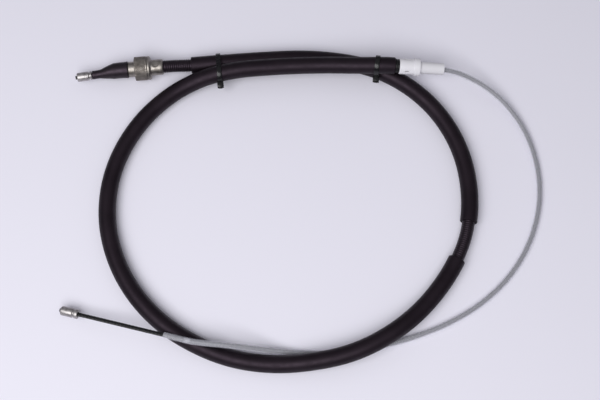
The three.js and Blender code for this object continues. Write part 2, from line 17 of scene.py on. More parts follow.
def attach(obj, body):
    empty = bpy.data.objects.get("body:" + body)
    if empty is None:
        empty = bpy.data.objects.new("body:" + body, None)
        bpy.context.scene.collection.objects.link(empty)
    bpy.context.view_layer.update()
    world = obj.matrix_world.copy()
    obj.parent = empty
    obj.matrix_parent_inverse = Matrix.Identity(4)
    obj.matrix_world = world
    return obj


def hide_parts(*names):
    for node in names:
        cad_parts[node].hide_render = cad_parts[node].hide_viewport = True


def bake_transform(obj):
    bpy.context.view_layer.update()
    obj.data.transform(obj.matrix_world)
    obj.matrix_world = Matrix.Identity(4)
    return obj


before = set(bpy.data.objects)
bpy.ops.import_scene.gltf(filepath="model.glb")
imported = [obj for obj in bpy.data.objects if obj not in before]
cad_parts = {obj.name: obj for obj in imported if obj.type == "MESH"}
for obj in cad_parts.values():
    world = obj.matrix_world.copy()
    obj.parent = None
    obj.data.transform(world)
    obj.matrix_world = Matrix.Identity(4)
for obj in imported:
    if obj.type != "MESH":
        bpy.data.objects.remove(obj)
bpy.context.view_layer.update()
MM = 0.001

# %% [markdown]
# ## Camera
# The photograph looks down on the coil steeply, from the near side. A lens of 70 mm from nearly a
# metre away gives the same mild perspective. The camera is turned with a tracking quaternion, so
# its up side stays towards +Y.

# %% Camera
CAMERA_TARGET = Vector((-3, 6, 0)) * MM
CAMERA_DISTANCE = 887 * MM
CAMERA_ELEVATION = math.radians(71)
CAMERA_LENS = 70
camera_back = Vector((0, -math.cos(CAMERA_ELEVATION), math.sin(CAMERA_ELEVATION)))

camera = bpy.data.objects.new("photo_camera", bpy.data.cameras.new("photo_camera"))
bpy.context.scene.collection.objects.link(camera)
camera.location = CAMERA_TARGET + camera_back * CAMERA_DISTANCE
camera.rotation_mode = "QUATERNION"
camera.rotation_quaternion = (-camera_back).to_track_quat("-Z", "Y")
camera.data.lens = CAMERA_LENS
bpy.context.scene.camera = camera
print("camera at", [round(x, 3) for x in camera.location])

# %% [markdown]
# ## The route of the cable
# The casing, the guide tube and the wire share one centreline. Its points are the ones that the
# CAD source uses, chosen over the photograph: three or four in line through each stiff
# fitting, and the loop in between. A Catmull-Rom curve passes through every point, and its
# centripetal kind makes no overshoot where the points lie close together.

# %% Route points
FERRULE_PLACE = Vector((-131.9, 110.95, 9.5)) * MM
BUSH_PLACE = Vector((70.1, 108, 21.6)) * MM
MOUTH_PLACE = Vector((-101, -101.5, 14.3)) * MM


def heading(degrees, fall=0):
    """Unit vector that heads from +X towards +Y and falls by some degrees."""
    turn = math.radians(degrees)
    drop = math.radians(fall)
    level = math.cos(drop)
    return Vector((math.cos(turn) * level, math.sin(turn) * level, -math.sin(drop)))


FERRULE_HEADING = 5.3
BRAKE_WIRE_HEADING = 9.7
BRAKE_WIRE_PIVOT = -5 * MM

ferrule_axis = heading(FERRULE_HEADING)
brake_wire_axis = heading(BRAKE_WIRE_HEADING)
brake_wire_place = FERRULE_PLACE + ferrule_axis * BRAKE_WIRE_PIVOT
bush_axis = heading(-2.1, 4.5)
mouth_axis = heading(165.3, 5.7)

SPIGOT_FRONT = -13.6
FERRULE_STATIONS = [SPIGOT_FRONT - 0.3, -2, 10, 22]
BUSH_STATIONS = [-6, 0, 12, 21]
MOUTH_STATIONS = [-20, -13, -6, 0]

# The casing's way, from the ferrule around the coil and over itself to the bush
CASING_POINTS = [
    (-102, 113.8, 9), (-89, 114.6, 8.5), (-66, 116.5, 8.6), (-34.5, 119, 8.5), (-3, 120.4, 8.4),
    (20.5, 119, 8.4), (44.5, 114.5, 8.6), (63.5, 107.4, 8.6), (83.4, 95.3, 7.6),
    (100.4, 79, 6.7), (113.5, 58.5, 6.5), (121.8, 35.5, 6.5), (125, 11, 6.5),
    (123.7, -11.3, 6.5), (118.5, -31.3, 6.5), (106.5, -54.8, 6.9), (86.3, -80.4, 9),
    (62.5, -100, 11.8), (35.7, -113.4, 12), (7, -119.8, 9.9), (-22.8, -121.2, 6.9),
    (-52, -117, 6.5), (-79.4, -106.4, 6.5), (-103.5, -91, 6.5), (-123.6, -70.3, 6.5),
    (-138.6, -44.8, 6.5), (-147, -15.7, 6.5), (-147.2, 14.2, 6.5), (-140, 41.5, 6.5),
    (-124.7, 68.5, 6.5), (-105.3, 88.1, 7.2), (-88.6, 98, 9.6), (-72, 103.4, 13.5),
    (-51, 106.9, 16.5), (-26.3, 109.1, 17), (-3, 110.2, 17.3), (20.2, 110.1, 18.5),
    (38.7, 109, 20.3), (56.4, 108.3, 21.9),
]

# The guide tube's way, from the bush to its mouth
TUBE_POINTS = [
    (108.8, 106.3, 17.9), (123.5, 103.8, 14), (143.2, 94.5, 8.8), (159.3, 79.8, 5.1),
    (171.6, 59.3, 3), (178.3, 34.7, 2.3), (179, 9.2, 2.3), (174, -15.1, 2.3),
    (164.2, -37.4, 2.3), (149.3, -58, 2.3), (129.4, -76, 2.3), (106.5, -89.7, 2.3),
    (80.8, -100.2, 2.3), (52.2, -108, 2.3), (24.6, -112, 2.4), (-1.6, -112.2, 2.9),
    (-21, -111.4, 6.2), (-39, -110.4, 11.8), (-54.5, -109.4, 15.7), (-69, -108.3, 17),
]


def in_line(place, axis, stations):
    return [place + axis * (station * MM) for station in stations]


route_points = (
    in_line(FERRULE_PLACE, ferrule_axis, FERRULE_STATIONS)
    + [Vector(point) * MM for point in CASING_POINTS]
    + in_line(BUSH_PLACE, bush_axis, BUSH_STATIONS)
    + [Vector(point) * MM for point in TUBE_POINTS]
    + in_line(MOUTH_PLACE, mouth_axis, MOUTH_STATIONS)
)
print(len(route_points), "route points")

# %% Centripetal curve through the points
SAMPLES_PER_SPAN = 60


def centripetal(points):
    """Points on the smooth curve through the given ones."""
    ends = [2 * points[0] - points[1], *points, 2 * points[-1] - points[-2]]
    curve = [points[0].copy()]
    for i in range(1, len(points)):
        a, b, c, d = ends[i - 1 : i + 3]
        before, here, after = ((q - p).length ** 0.5 for p, q in ((a, b), (b, c), (c, d)))
        leave = (b - a) / before - (c - a) / (before + here) + (c - b) / here
        arrive = (c - b) / here - (d - b) / (here + after) + (d - c) / after
        leave *= here
        arrive *= here
        for k in range(1, SAMPLES_PER_SPAN + 1):
            t = k / SAMPLES_PER_SPAN
            curve.append(
                b + leave * t
                + (3 * (c - b) - 2 * leave - arrive) * t ** 2
                + (2 * (b - c) + leave + arrive) * t ** 3
            )
    return curve


route = centripetal(route_points)
route_lengths = [0.0]
for start, end in zip(route, route[1:]):
    route_lengths.append(route_lengths[-1] + (end - start).length)
route_length = route_lengths[-1]
print("whole cable path", round(route_length, 4), "m")

# %% Places along the route
collar_place = -FERRULE_STATIONS[0] * MM
bush_index = len(FERRULE_STATIONS) + len(CASING_POINTS) + 1
casing_end = route_lengths[bush_index * SAMPLES_PER_SPAN]
BRAKE_HOSE_START = collar_place + 44 * MM
BRAKE_HOSE_END = BRAKE_HOSE_START + 299 * MM
LEVER_HOSE_START = BRAKE_HOSE_END + 31 * MM
CASING_START = collar_place + 12.6 * MM
TUBE_START = casing_end + 8.3 * MM


def on_route(distance):
    """The route's point and direction at a distance from its start."""
    i = min(max(bisect.bisect_right(route_lengths, distance) - 1, 0), len(route) - 2)
    span = route[i + 1] - route[i]
    share = (distance - route_lengths[i]) / span.length
    before = route[max(i - 1, 0)]
    after = route[min(i + 2, len(route) - 1)]
    return route[i] + span * share, (after - before).normalized()


def upright(place, axis):
    """Matrix whose local +Z runs along an axis, with local +Y as far up as it can be."""
    side = Vector((0, 0, 1)).cross(axis).normalized()
    upper = axis.cross(side)
    matrix = Matrix((side, upper, axis)).transposed().to_4x4()
    matrix.translation = place
    return matrix


def section(distance, radius, turn=0.0):
    """Matrix that sets a unit circle square to the route, at a distance and a radius."""
    spin = Matrix.Rotation(turn, 4, "Z")
    return upright(*on_route(distance)) @ spin @ Matrix.Diagonal((radius, radius, 1, 1))


def every(start, end, step):
    """Evenly spaced numbers from start to end, about a step apart."""
    count = max(1, round((end - start) / step))
    return [start + (end - start) * i / count for i in range(count + 1)]


print("the casing ends", round(casing_end, 4), "m along the route")

# %% [markdown]
# ## Sweeping a section along the cable
# A curve object with a round bevel makes a plain tube, but not a ribbed one, a twisted one, or one
# with a cut end that shows its wall. Here a circle of edges is extruded again and again, and each
# new circle is moved to its own place with a matrix. A list of matrices then describes the piece:
# a radius that goes up and down makes ribs, and a list that runs out along the outside and back
# along the inside makes a pipe.

# %% Sweep helper
def finish_mesh(name, bm, sharp=35, smooth=True):
    """Object from a bmesh, with outward normals and creases kept sharp."""
    bmesh.ops.recalc_face_normals(bm, faces=bm.faces)
    for face in bm.faces:
        face.smooth = smooth
    mesh = bpy.data.meshes.new(name)
    bm.to_mesh(mesh)
    bm.free()
    mesh.set_sharp_from_angle(angle=math.radians(sharp))
    piece = bpy.data.objects.new(name, mesh)
    bpy.context.scene.collection.objects.link(piece)
    print(name, len(mesh.polygons), "faces")
    return piece


def extrude_rings(bm, rings, edges):
    """Extrudes a unit circle of edges through a list of matrices, and returns the last circle."""
    verts = list({vert for edge in edges for vert in edge.verts})
    placed = Matrix.Identity(4)
    for number, ring in enumerate(rings):
        if number:
            grown = bmesh.ops.extrude_edge_only(bm, edges=edges)["geom"]
            verts = [item for item in grown if isinstance(item, bmesh.types.BMVert)]
            edges = [item for item in grown if isinstance(item, bmesh.types.BMEdge)]
        bmesh.ops.transform(bm, matrix=ring @ placed.inverted(), verts=verts)
        placed = ring
    return edges


def swept_rod(name, rings, sides=24, shape=None):
    """Solid rod through the rings. shape gives the radius of the section at an angle."""
    bm = bmesh.new()
    bmesh.ops.create_circle(bm, segments=sides, radius=1)
    if shape:
        for vert in bm.verts:
            vert.co *= shape(math.atan2(vert.co.y, vert.co.x))
    first = list(bm.edges)
    last = extrude_rings(bm, rings, first)
    bmesh.ops.holes_fill(bm, edges=first + last, sides=sides)
    return finish_mesh(name, bm)


def swept_pipe(name, rings, sides=32):
    """Pipe whose rings run out along one wall and back along the other."""
    bm = bmesh.new()
    bmesh.ops.create_circle(bm, segments=sides, radius=1)
    first = list(bm.edges)
    last = extrude_rings(bm, rings, first)
    bmesh.ops.bridge_loops(bm, edges=first + last)
    return finish_mesh(name, bm)


def pipe_rings(start, end, outer, inner, step, rim=0.3 * MM):
    """Rings of a cut length of hose, with its rims rounded off."""
    outside = [(place, outer) for place in every(start + rim, end - rim, step)]
    inside = [(place, inner) for place in every(end - rim, start + rim, -step)]
    far_rim = [(end, outer - rim), (end, inner + rim)]
    near_rim = [(start, inner + rim), (start, outer - rim)]
    return [section(*ring) for ring in outside + far_rim + inside + near_rim]

# %% [markdown]
# ## Casing
# The casing is a steel-wound conduit under a black plastic skin that is pressed into close ribs.
# Only three short stretches of it show: behind the ferrule, between the two hoses, and a little at
# each hose's mouth. The ribs are modelled there, ring by ring, and the hidden rest is plain.

# %% Casing piece
CASING_RADIUS = 4.8 * MM
RIB_PITCH = 1.65 * MM
RIB_DEPTH = 0.3 * MM
RIBBED_BEYOND = 9 * MM
CASING_BORE = 3.8 * MM

ribbed_stretches = [
    (CASING_START, BRAKE_HOSE_START + RIBBED_BEYOND),
    (BRAKE_HOSE_END - RIBBED_BEYOND, LEVER_HOSE_START + RIBBED_BEYOND),
]


def rib_profile(start, end):
    """Places and radii of rounded ribs with narrow grooves between them."""
    profile = []
    for foot in every(start, end, RIB_PITCH)[:-1]:
        for share, height in ((0, 0), (0.14, 0.72), (0.36, 1), (0.64, 1), (0.86, 0.72)):
            profile.append((foot + share * RIB_PITCH, CASING_RADIUS - RIB_DEPTH * (1 - height)))
    return profile


def plain_profile(start, end, radius):
    return [(place, radius) for place in every(start, end, 9 * MM)]


casing_outside = (
    rib_profile(*ribbed_stretches[0])
    + plain_profile(ribbed_stretches[0][1] + 2 * MM, ribbed_stretches[1][0] - 2 * MM, CASING_RADIUS)
    + rib_profile(*ribbed_stretches[1])
    + plain_profile(ribbed_stretches[1][1] + 2 * MM, casing_end, CASING_RADIUS)
)
casing_inside = plain_profile(CASING_START, casing_end, CASING_BORE)[::-1]
casing_rings = [section(*ring) for ring in casing_outside + casing_inside]
casing = swept_pipe("ribbed_casing", casing_rings, 28)
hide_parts("conduit_jacket")
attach(casing, "casing")
route_steps = every(CASING_START, casing_end, 8 * MM)
on_route(CASING_START)[0]
[on_route(place)[0] for place in route_steps]
print("casing", round(casing_end - CASING_START, 3), "m long")

# %% [markdown]
# ## Protective hoses
# Two lengths of plain black hose are pushed over the casing, with a gap of a few centimetres
# between them at the lower right. Their ends are cut square, and the wall shows there as a thin
# paler rim.

# %% Hose pieces
HOSE_RADIUS = 6.5 * MM
HOSE_BORE = 5.2 * MM
HOSE_STEP = 5 * MM


def hose(name, start, end, node):
    piece = swept_pipe(name, pipe_rings(start, end, HOSE_RADIUS, HOSE_BORE, HOSE_STEP), 36)
    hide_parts(node)
    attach(piece, "casing")
    on_route(start)[0]
    [on_route(place)[0] for place in every(start, end, 8 * MM)]
    print(name, round(end - start, 3), "m long")
    return piece


brake_hose = hose("hose_brake_side", BRAKE_HOSE_START, BRAKE_HOSE_END, "brake_side_hose")
lever_hose = hose("hose_lever_side", LEVER_HOSE_START, casing_end, "lever_side_hose")

# %% [markdown]
# ## Guide tube
# Beyond the white bush the wire runs on in a thin tube of milky plastic, and shows through it as a
# grey shadow. The tube is a real pipe with a thin wall, so that its finish can let the wire inside
# show.

# %% Guide tube piece
TUBE_RADIUS = 2.25 * MM
TUBE_BORE = 1.8 * MM
tube = swept_pipe(
    "milky_guide_tube",
    pipe_rings(TUBE_START, route_length, TUBE_RADIUS, TUBE_BORE, 4 * MM, rim=0.12 * MM), 24,
)
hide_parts("guide_tube")
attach(tube, "casing")
on_route(TUBE_START)[0]
[on_route(place)[0] for place in every(TUBE_START, route_length, 6 * MM)]
print("guide tube", round(route_length - TUBE_START, 3), "m long")

# %% [markdown]
# ## Wire rope
# The rope is six strands laid around a core. Its section is a circle with six lobes, and turning
# each new ring a little further winds the lobes into strands. Two short ends of the rope slide,
# and the long middle of it, which only shows through the milky tube, stays with the casing.

# %% Rope pieces
ROPE_RADIUS = 1.5 * MM
STRANDS = 6
STRAND_RADIUS = 1 / 3
STRAND_OFFSET = 2 / 3
LAY_LENGTH = 16.2 * MM
VALLEY = 0.74


def strand_shape(angle):
    """Radius of six round strands around the middle, as a share of the rope's own."""
    lobe = math.pi / STRANDS
    off = (angle + lobe) % (2 * lobe) - lobe
    reach = 1 - (STRAND_OFFSET * math.sin(off) / STRAND_RADIUS) ** 2
    strand_top = STRAND_OFFSET * math.cos(off) + STRAND_RADIUS * math.sqrt(max(reach, 0))
    return max(VALLEY, strand_top)


def rope_rings(start, end, step):
    return [
        section(place, ROPE_RADIUS, 2 * math.pi * place / LAY_LENGTH)
        for place in every(start, end, step)
    ]


def straight_rope_rings(place, axis, start, end, step):
    """The same for a straight stretch of rope through a place, along an axis."""
    rings = []
    for distance in every(start, end, step):
        turn = Matrix.Rotation(2 * math.pi * distance / LAY_LENGTH, 4, "Z")
        size = Matrix.Diagonal((ROPE_RADIUS, ROPE_RADIUS, 1, 1))
        rings.append(upright(place + axis * distance, axis) @ turn @ size)
    return rings


MIDDLE_START = collar_place + 6 * MM
MIDDLE_END = route_length - 20 * MM
hidden_rope = rope_rings(MIDDLE_START, TUBE_START - 5 * MM, 8 * MM)
seen_rope = rope_rings(TUBE_START - 4 * MM, MIDDLE_END, 1.3 * MM)
middle_rope = swept_rod("rope_middle", hidden_rope + seen_rope, 18, strand_shape)
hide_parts("inner_wire")
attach(middle_rope, "casing")

# %% Rope's lever end
ROPE_FINE_STEP = 0.55 * MM
MOUTH_REACH = 15 * MM
LEVER_WIRE_EXPOSED = 66.1 * MM
LEVER_NIPPLE_LENGTH = 13 * MM
BRAKE_NIPPLE_LENGTH = 11.3 * MM
ROPE_STUB = 1.3 * MM
CLEARANCE = 0.3 * MM

lever_rope_end = LEVER_WIRE_EXPOSED + LEVER_NIPPLE_LENGTH + ROPE_STUB
lever_rope = swept_rod(
    "rope_lever_end",
    straight_rope_rings(MOUTH_PLACE, mouth_axis, -MOUTH_REACH, lever_rope_end, ROPE_FINE_STEP),
    48, strand_shape,
)
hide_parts("lever_end_wire")
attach(lever_rope, "lever_end")

# %% Rope's brake end
BOOT_MOUTH = -33.4 * MM
ROPE_INNER_END = -8 * MM
brake_bearing = BRAKE_WIRE_PIVOT - BOOT_MOUTH + 2 * CLEARANCE
brake_rope_end = brake_bearing + BRAKE_NIPPLE_LENGTH + ROPE_STUB
brake_rope_start = ROPE_INNER_END - BRAKE_WIRE_PIVOT
brake_rope = swept_rod(
    "rope_brake_end",
    straight_rope_rings(
        brake_wire_place, brake_wire_axis, -brake_rope_end, brake_rope_start, ROPE_FINE_STEP * 2,
    ),
    48, strand_shape,
)
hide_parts("brake_end_wire")
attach(brake_rope, "brake_end")

# %% [markdown]
# ## Turned fittings
# The ferrule, the collar, the boot, the nipples, the plug and the bush are all round about an
# axis. Each one starts as an outline of a few points, distance along the axis and radius, and is
# spun a full turn. Where two faces meet at more than a third of a right angle, a narrow bevel
# takes the edge off, because no real edge is perfectly sharp and a bevel catches the light.

# %% Turning helper
TURNED_SIDES = 96


def spun(outline, sides=TURNED_SIDES):
    """bmesh of a closed outline of (distance, radius) in millimetres, spun about local +Z."""
    bm = bmesh.new()
    corners = [bm.verts.new((radius * MM, 0, distance * MM)) for distance, radius in outline]
    edges = [bm.edges.new(pair) for pair in zip(corners, corners[1:] + corners[:1])]
    bmesh.ops.spin(
        bm, geom=corners + edges, cent=(0, 0, 0), axis=(0, 0, 1), dvec=(0, 0, 0),
        angle=2 * math.pi, steps=sides, use_merge=True, use_duplicate=False,
    )
    bmesh.ops.remove_doubles(bm, verts=bm.verts, dist=1e-6)
    bmesh.ops.recalc_face_normals(bm, faces=bm.faces)
    return bm


def take_edges_off(bm, width, angle=30):
    """Bevels every edge where the surface turns by more than an angle."""
    limit = math.radians(angle)
    creases = [edge for edge in bm.edges if edge.is_manifold and edge.calc_face_angle() > limit]
    bmesh.ops.bevel(
        bm, geom=creases, offset=width, offset_type="OFFSET", segments=2, profile=0.5,
        affect="EDGES", clamp_overlap=True, material=-1,
    )


def fitting(name, bm, place, axis, node, body):
    """Object from a turned bmesh, set on its axis in place of its CAD node."""
    bmesh.ops.transform(bm, matrix=upright(place, axis), verts=bm.verts)
    piece = finish_mesh(name, bm, sharp=40)
    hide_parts(node)
    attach(piece, body)
    return piece

# %% [markdown]
# ### Ferrule
# A steel ferrule is crimped on the casing. From the left: a spigot that the boot grips, a neck, the
# flange behind the knurled collar, and a sleeve with one round press mark. The press mark is made
# by moving the few points around it inwards, like a dent.

# %% Ferrule piece
FERRULE_OUTLINE = [
    (-13.6, 2.65), (-13.6, 4.6), (-13.2, 5), (-9.35, 5), (-9.35, 4.4), (-7.35, 4.4),
    (-7.35, 5), (-5.1, 5), (-5.1, 5.6), (-4.7, 6), (9.9, 6), (9.9, 9.1), (10.1, 9.3),
    (11.5, 9.3), (12.3, 8.5), (12.3, 6.25), (12.7, 6.1), (21.1, 6.1), (21.7, 5.8), (22, 5.4),
    (22, 5.1), (12.3, 5.1), (12.3, 2.65),
]
PRESS_MARK_AT = 16.3 * MM
PRESS_MARK_RADIUS = 2.8 * MM
PRESS_MARK_DEPTH = 0.45 * MM

ferrule_bm = spun(FERRULE_OUTLINE)
take_edges_off(ferrule_bm, 0.12 * MM)


def slice_along(bm, stations):
    """Adds rings of edges where a turned piece needs more points."""
    for station in stations:
        bmesh.ops.bisect_plane(
            bm, geom=[*bm.verts, *bm.edges, *bm.faces], dist=1e-7,
            plane_co=(0, 0, station), plane_no=(0, 0, 1),
        )


slice_along(ferrule_bm, every(13.2 * MM, 19.4 * MM, 0.3 * MM))
for vert in ferrule_bm.verts:
    outside = vert.co.xy.length > 6 * MM
    around = math.atan2(vert.co.x, vert.co.y) * vert.co.xy.length
    off = math.hypot(around, vert.co.z - PRESS_MARK_AT) / PRESS_MARK_RADIUS
    if outside and vert.co.z > 13 * MM and off < 1:
        vert.co.xy *= 1 - PRESS_MARK_DEPTH * min(1, 2.6 * (1 - off)) / vert.co.xy.length
ferrule = fitting(
    "crimped_ferrule", ferrule_bm, FERRULE_PLACE, ferrule_axis, "end_ferrule", "casing",
)

# %% [markdown]
# ### Knurled collar
# The collar's rim is rolled with a diamond knurl. Two families of grooves cross at an angle and
# leave small pyramids. The rim gets a fine grid of points, and each point goes down by its
# distance to the nearest groove of either family, so the pyramids are real shape and glint.

# %% Collar piece
COLLAR_RADIUS = 9.4
COLLAR_WIDTH = 9.6
KNURLS_AROUND = 42
KNURL_LENGTH = 1.3
KNURL_DEPTH = 0.42
KNURL_MARGIN = 0.7
POINTS_PER_KNURL = 6
COLLAR_BORE_RADIUS = 6.3
COLLAR_FACE_RADIUS = COLLAR_RADIUS - 0.45
COLLAR_EDGE = 0.2

knurl_rows = every(KNURL_MARGIN, COLLAR_WIDTH - KNURL_MARGIN, KNURL_LENGTH / POINTS_PER_KNURL)
front_edge = [
    (0, COLLAR_BORE_RADIUS), (0, COLLAR_FACE_RADIUS), (COLLAR_EDGE, COLLAR_RADIUS - COLLAR_EDGE),
]
back_edge = [
    (COLLAR_WIDTH - COLLAR_EDGE, COLLAR_RADIUS - COLLAR_EDGE),
    (COLLAR_WIDTH, COLLAR_FACE_RADIUS), (COLLAR_WIDTH, COLLAR_BORE_RADIUS),
]
collar_outline = front_edge + [(row, COLLAR_RADIUS) for row in knurl_rows] + back_edge
collar_bm = spun(collar_outline, KNURLS_AROUND * POINTS_PER_KNURL)


def saw(x):
    """0 at whole numbers and 1 halfway between them."""
    return 1 - abs(2 * (x % 1) - 1)


for vert in collar_bm.verts:
    if vert.co.xy.length > (COLLAR_RADIUS - 0.05) * MM:
        around = math.atan2(vert.co.y, vert.co.x) / (2 * math.pi) * KNURLS_AROUND
        along = (vert.co.z / MM - KNURL_MARGIN) / KNURL_LENGTH
        rise = min(saw(around + along), saw(around - along))
        vert.co.xy *= 1 - KNURL_DEPTH * (1 - rise) / COLLAR_RADIUS
collar = fitting(
    "knurled_collar_ring", collar_bm, FERRULE_PLACE, ferrule_axis, "knurled_collar", "casing",
)

# %% [markdown]
# ### Boot
# The rubber boot keeps dirt off the wire where it leaves the ferrule. A narrow lip slides on the
# wire, a cone widens, and the wide end is held on the spigot. When the wire is pulled the lip goes
# with it and the cone gets shorter. The wire leans a few degrees in the ferrule, and the boot bends
# sideways to follow it.

# %% Boot piece
BOOT_OUTLINE = [
    (-33.4, 1.8), (-33.4, 3.2), (-33.1, 3.35), (-31.5, 3.3), (-29.4, 3.25), (-27.4, 3.4),
    (-26, 3.7), (-24.4, 4.15), (-22, 4.85), (-19.6, 5.4), (-18.2, 5.75), (-17, 6.05),
    (-15.8, 6.1), (-13.5, 6.15), (-10, 6.25), (-6.6, 6.4), (-5.7, 6.5), (-5.4, 6.4), (-5.4, 5.3),
    (-14, 5.3), (-17.5, 4.6), (-25, 2.0), (-26, 1.8),
]
BOOT_BEND_START = -13.9 * MM
BOOT_BEND_END = -26 * MM

boot_bm = spun(BOOT_OUTLINE, 64)
take_edges_off(boot_bm, 0.15 * MM, 45)
lean = math.tan(math.radians(BRAKE_WIRE_HEADING - FERRULE_HEADING))
for vert in boot_bm.verts:
    share = (vert.co.z - BOOT_BEND_START) / (BOOT_BEND_END - BOOT_BEND_START)
    vert.co.x += min(max(share, 0), 1) * lean * (vert.co.z - BRAKE_WIRE_PIVOT)
bmesh.ops.transform(boot_bm, matrix=upright(FERRULE_PLACE, ferrule_axis), verts=boot_bm.verts)
boot = finish_mesh("rubber_boot", boot_bm, sharp=50)
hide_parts("dust_boot")
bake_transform(boot)

# %% [markdown]
# ### Nipples
# Each end of the rope is cast into a zinc nipple: a collar, a groove, and a plain barrel that the
# cut end of the rope pokes out of.

# %% Nipple pieces
NIPPLE_BARREL_LENGTH = 9
NIPPLE_GROOVE_LENGTH = 1.2
LEVER_NIPPLE_COLLAR = 2.8
BRAKE_NIPPLE_COLLAR = 1.1


def nipple(name, collar, place, axis, node, body):
    """Nipple whose collar has a length in millimetres, from its bearing face along an axis."""
    groove_end = collar + NIPPLE_GROOVE_LENGTH
    end = groove_end + NIPPLE_BARREL_LENGTH
    outline = [
        (0, 1.8), (0, 3.2), (0.25, 3.5), (collar - 0.25, 3.5), (collar, 3.2), (collar + 0.15, 2.8),
        (groove_end - 0.3, 2.8), (groove_end, 3.2), (groove_end + 0.3, 3.5), (end - 0.5, 3.5),
        (end, 3.1), (end, 1.6),
    ]
    bm = spun(outline, 64)
    take_edges_off(bm, 0.1 * MM)
    return fitting(name, bm, place, axis, node, body)


lever_nipple = nipple(
    "cast_nipple_lever_end", LEVER_NIPPLE_COLLAR,
    MOUTH_PLACE + mouth_axis * LEVER_WIRE_EXPOSED, mouth_axis, "lever_end_nipple", "lever_end",
)
brake_nipple = nipple(
    "cast_nipple_brake_end", BRAKE_NIPPLE_COLLAR,
    brake_wire_place - brake_wire_axis * brake_bearing, -brake_wire_axis,
    "brake_end_nipple", "brake_end",
)

# %% [markdown]
# ### End plug and white bush
# A black plug closes the casing's end, and its nose sits inside the white bush, where it shows
# through a long window and a short slit. The bush is spun as a pipe. Each opening is made by
# deleting the faces of its outer and inner walls there and bridging the two holes, which leaves a
# clean wall.

# %% Plug piece
PLUG_OUTLINE = [
    (-6, 2.65), (-6, 3.5), (0.3, 3.5), (0.3, 5.2), (0.5, 5.45), (1.6, 5.45), (1.8, 5.2),
    (2.2, 5.2), (2.4, 5.45), (2.85, 5.45), (3.05, 5.2), (3.05, 4.5), (14.05, 4.5), (14.45, 4.1),
    (14.45, 2.65),
]
plug_bm = spun(PLUG_OUTLINE, 64)
take_edges_off(plug_bm, 0.1 * MM)
plug = fitting(
    "casing_plug", plug_bm, BUSH_PLACE, bush_axis, "casing_end_plug", "casing",
)

# %% White bush piece
# Start and end in millimetres, then middle and half width in degrees around the bush
WINDOW = (7.15, 14.35, -46, 14)
SLIT = (7.6, 10.7, 66, 5)
BUSH_OUTLINE = [
    (3.35, 4.8), (3.35, 5.8), (3.6, 6.05), (7.15, 6.05), (7.6, 6.05), (10.7, 6.05), (14.35, 6.05),
    (15.05, 6.05), (15.05, 6.55), (15.35, 6.85), (19.05, 6.85), (19.35, 6.55), (19.35, 4.65),
    (37.85, 4.65), (38.05, 4.45), (38.05, 3.9), (19.35, 3.9), (19.35, 2.55), (15.05, 2.55),
    (15.05, 4.8), (14.35, 4.8), (10.7, 4.8), (7.6, 4.8), (7.15, 4.8),
]


def open_window(bm, start, end, middle, half_width):
    """Cuts a window through both walls, at an angle in degrees from straight up."""
    opened = []
    for face in bm.faces:
        centre = face.calc_center_median()
        angle = math.degrees(math.atan2(-centre.x, centre.y))
        along = start < centre.z / MM < end
        wall = 4.7 < centre.xy.length / MM < 6.1 and abs(face.normal.z) < 0.5
        if along and wall and abs(angle - middle) < half_width:
            opened.append(face)
    edges = {edge for face in opened for edge in face.edges}
    rim = [edge for edge in edges if sum(face in opened for face in edge.link_faces) == 1]
    bmesh.ops.delete(bm, geom=opened, context="FACES")
    bmesh.ops.bridge_loops(bm, edges=[edge for edge in rim if edge.is_valid])


bush_bm = spun(BUSH_OUTLINE, 96)
open_window(bush_bm, *WINDOW)
open_window(bush_bm, *SLIT)
take_edges_off(bush_bm, 0.12 * MM)
bush = fitting(
    "white_bush", bush_bm, BUSH_PLACE, bush_axis, "white_guide_bush", "casing",
)

# %% [markdown]
# ## Cable ties
# Two nylon ties hold the coil where the hoses lie one over the other. A tie is a flat band around
# both hoses and a small block, its head, that the band's tail comes out of. The band starts as a
# circle that is pulled apart into two arcs, and is extruded to its width and given its thickness.

# %% Tie helper
TIE_GAP = 0.25 * MM
TIE_WIDTH = 3.6 * MM
TIE_THICKNESS = 1 * MM
HEAD_HEIGHT = 4.2 * MM
HEAD_LENGTH = 4.6 * MM
HEAD_WIDTH = 4.8 * MM
HEAD_RIM = 0.8 * MM
HEAD_RECESS = 1.1 * MM
TAIL_REACH = 2.6 * MM


def nearest_on_lever_hose(point):
    places = every(LEVER_HOSE_START, casing_end, 0.25 * MM)
    return min(places, key=lambda place: (on_route(place)[0] - point).length)


def tie_band(bm, apart):
    """Band around two circles that lie `apart` apart along +X."""
    inner = HOSE_RADIUS + TIE_GAP
    band = bmesh.ops.create_circle(bm, segments=64, radius=inner)["verts"]
    for vert in band:
        if vert.co.x > 1e-6:
            vert.co.x += apart
    bmesh.ops.translate(bm, verts=band, vec=(0, 0, -TIE_WIDTH / 2))
    grown = bmesh.ops.extrude_edge_only(bm, edges=bm.edges[:])["geom"]
    top = [item for item in grown if isinstance(item, bmesh.types.BMVert)]
    bmesh.ops.translate(bm, verts=top, vec=(0, 0, TIE_WIDTH))
    bmesh.ops.recalc_face_normals(bm, faces=bm.faces)
    bmesh.ops.solidify(bm, geom=bm.faces[:], thickness=-TIE_THICKNESS)


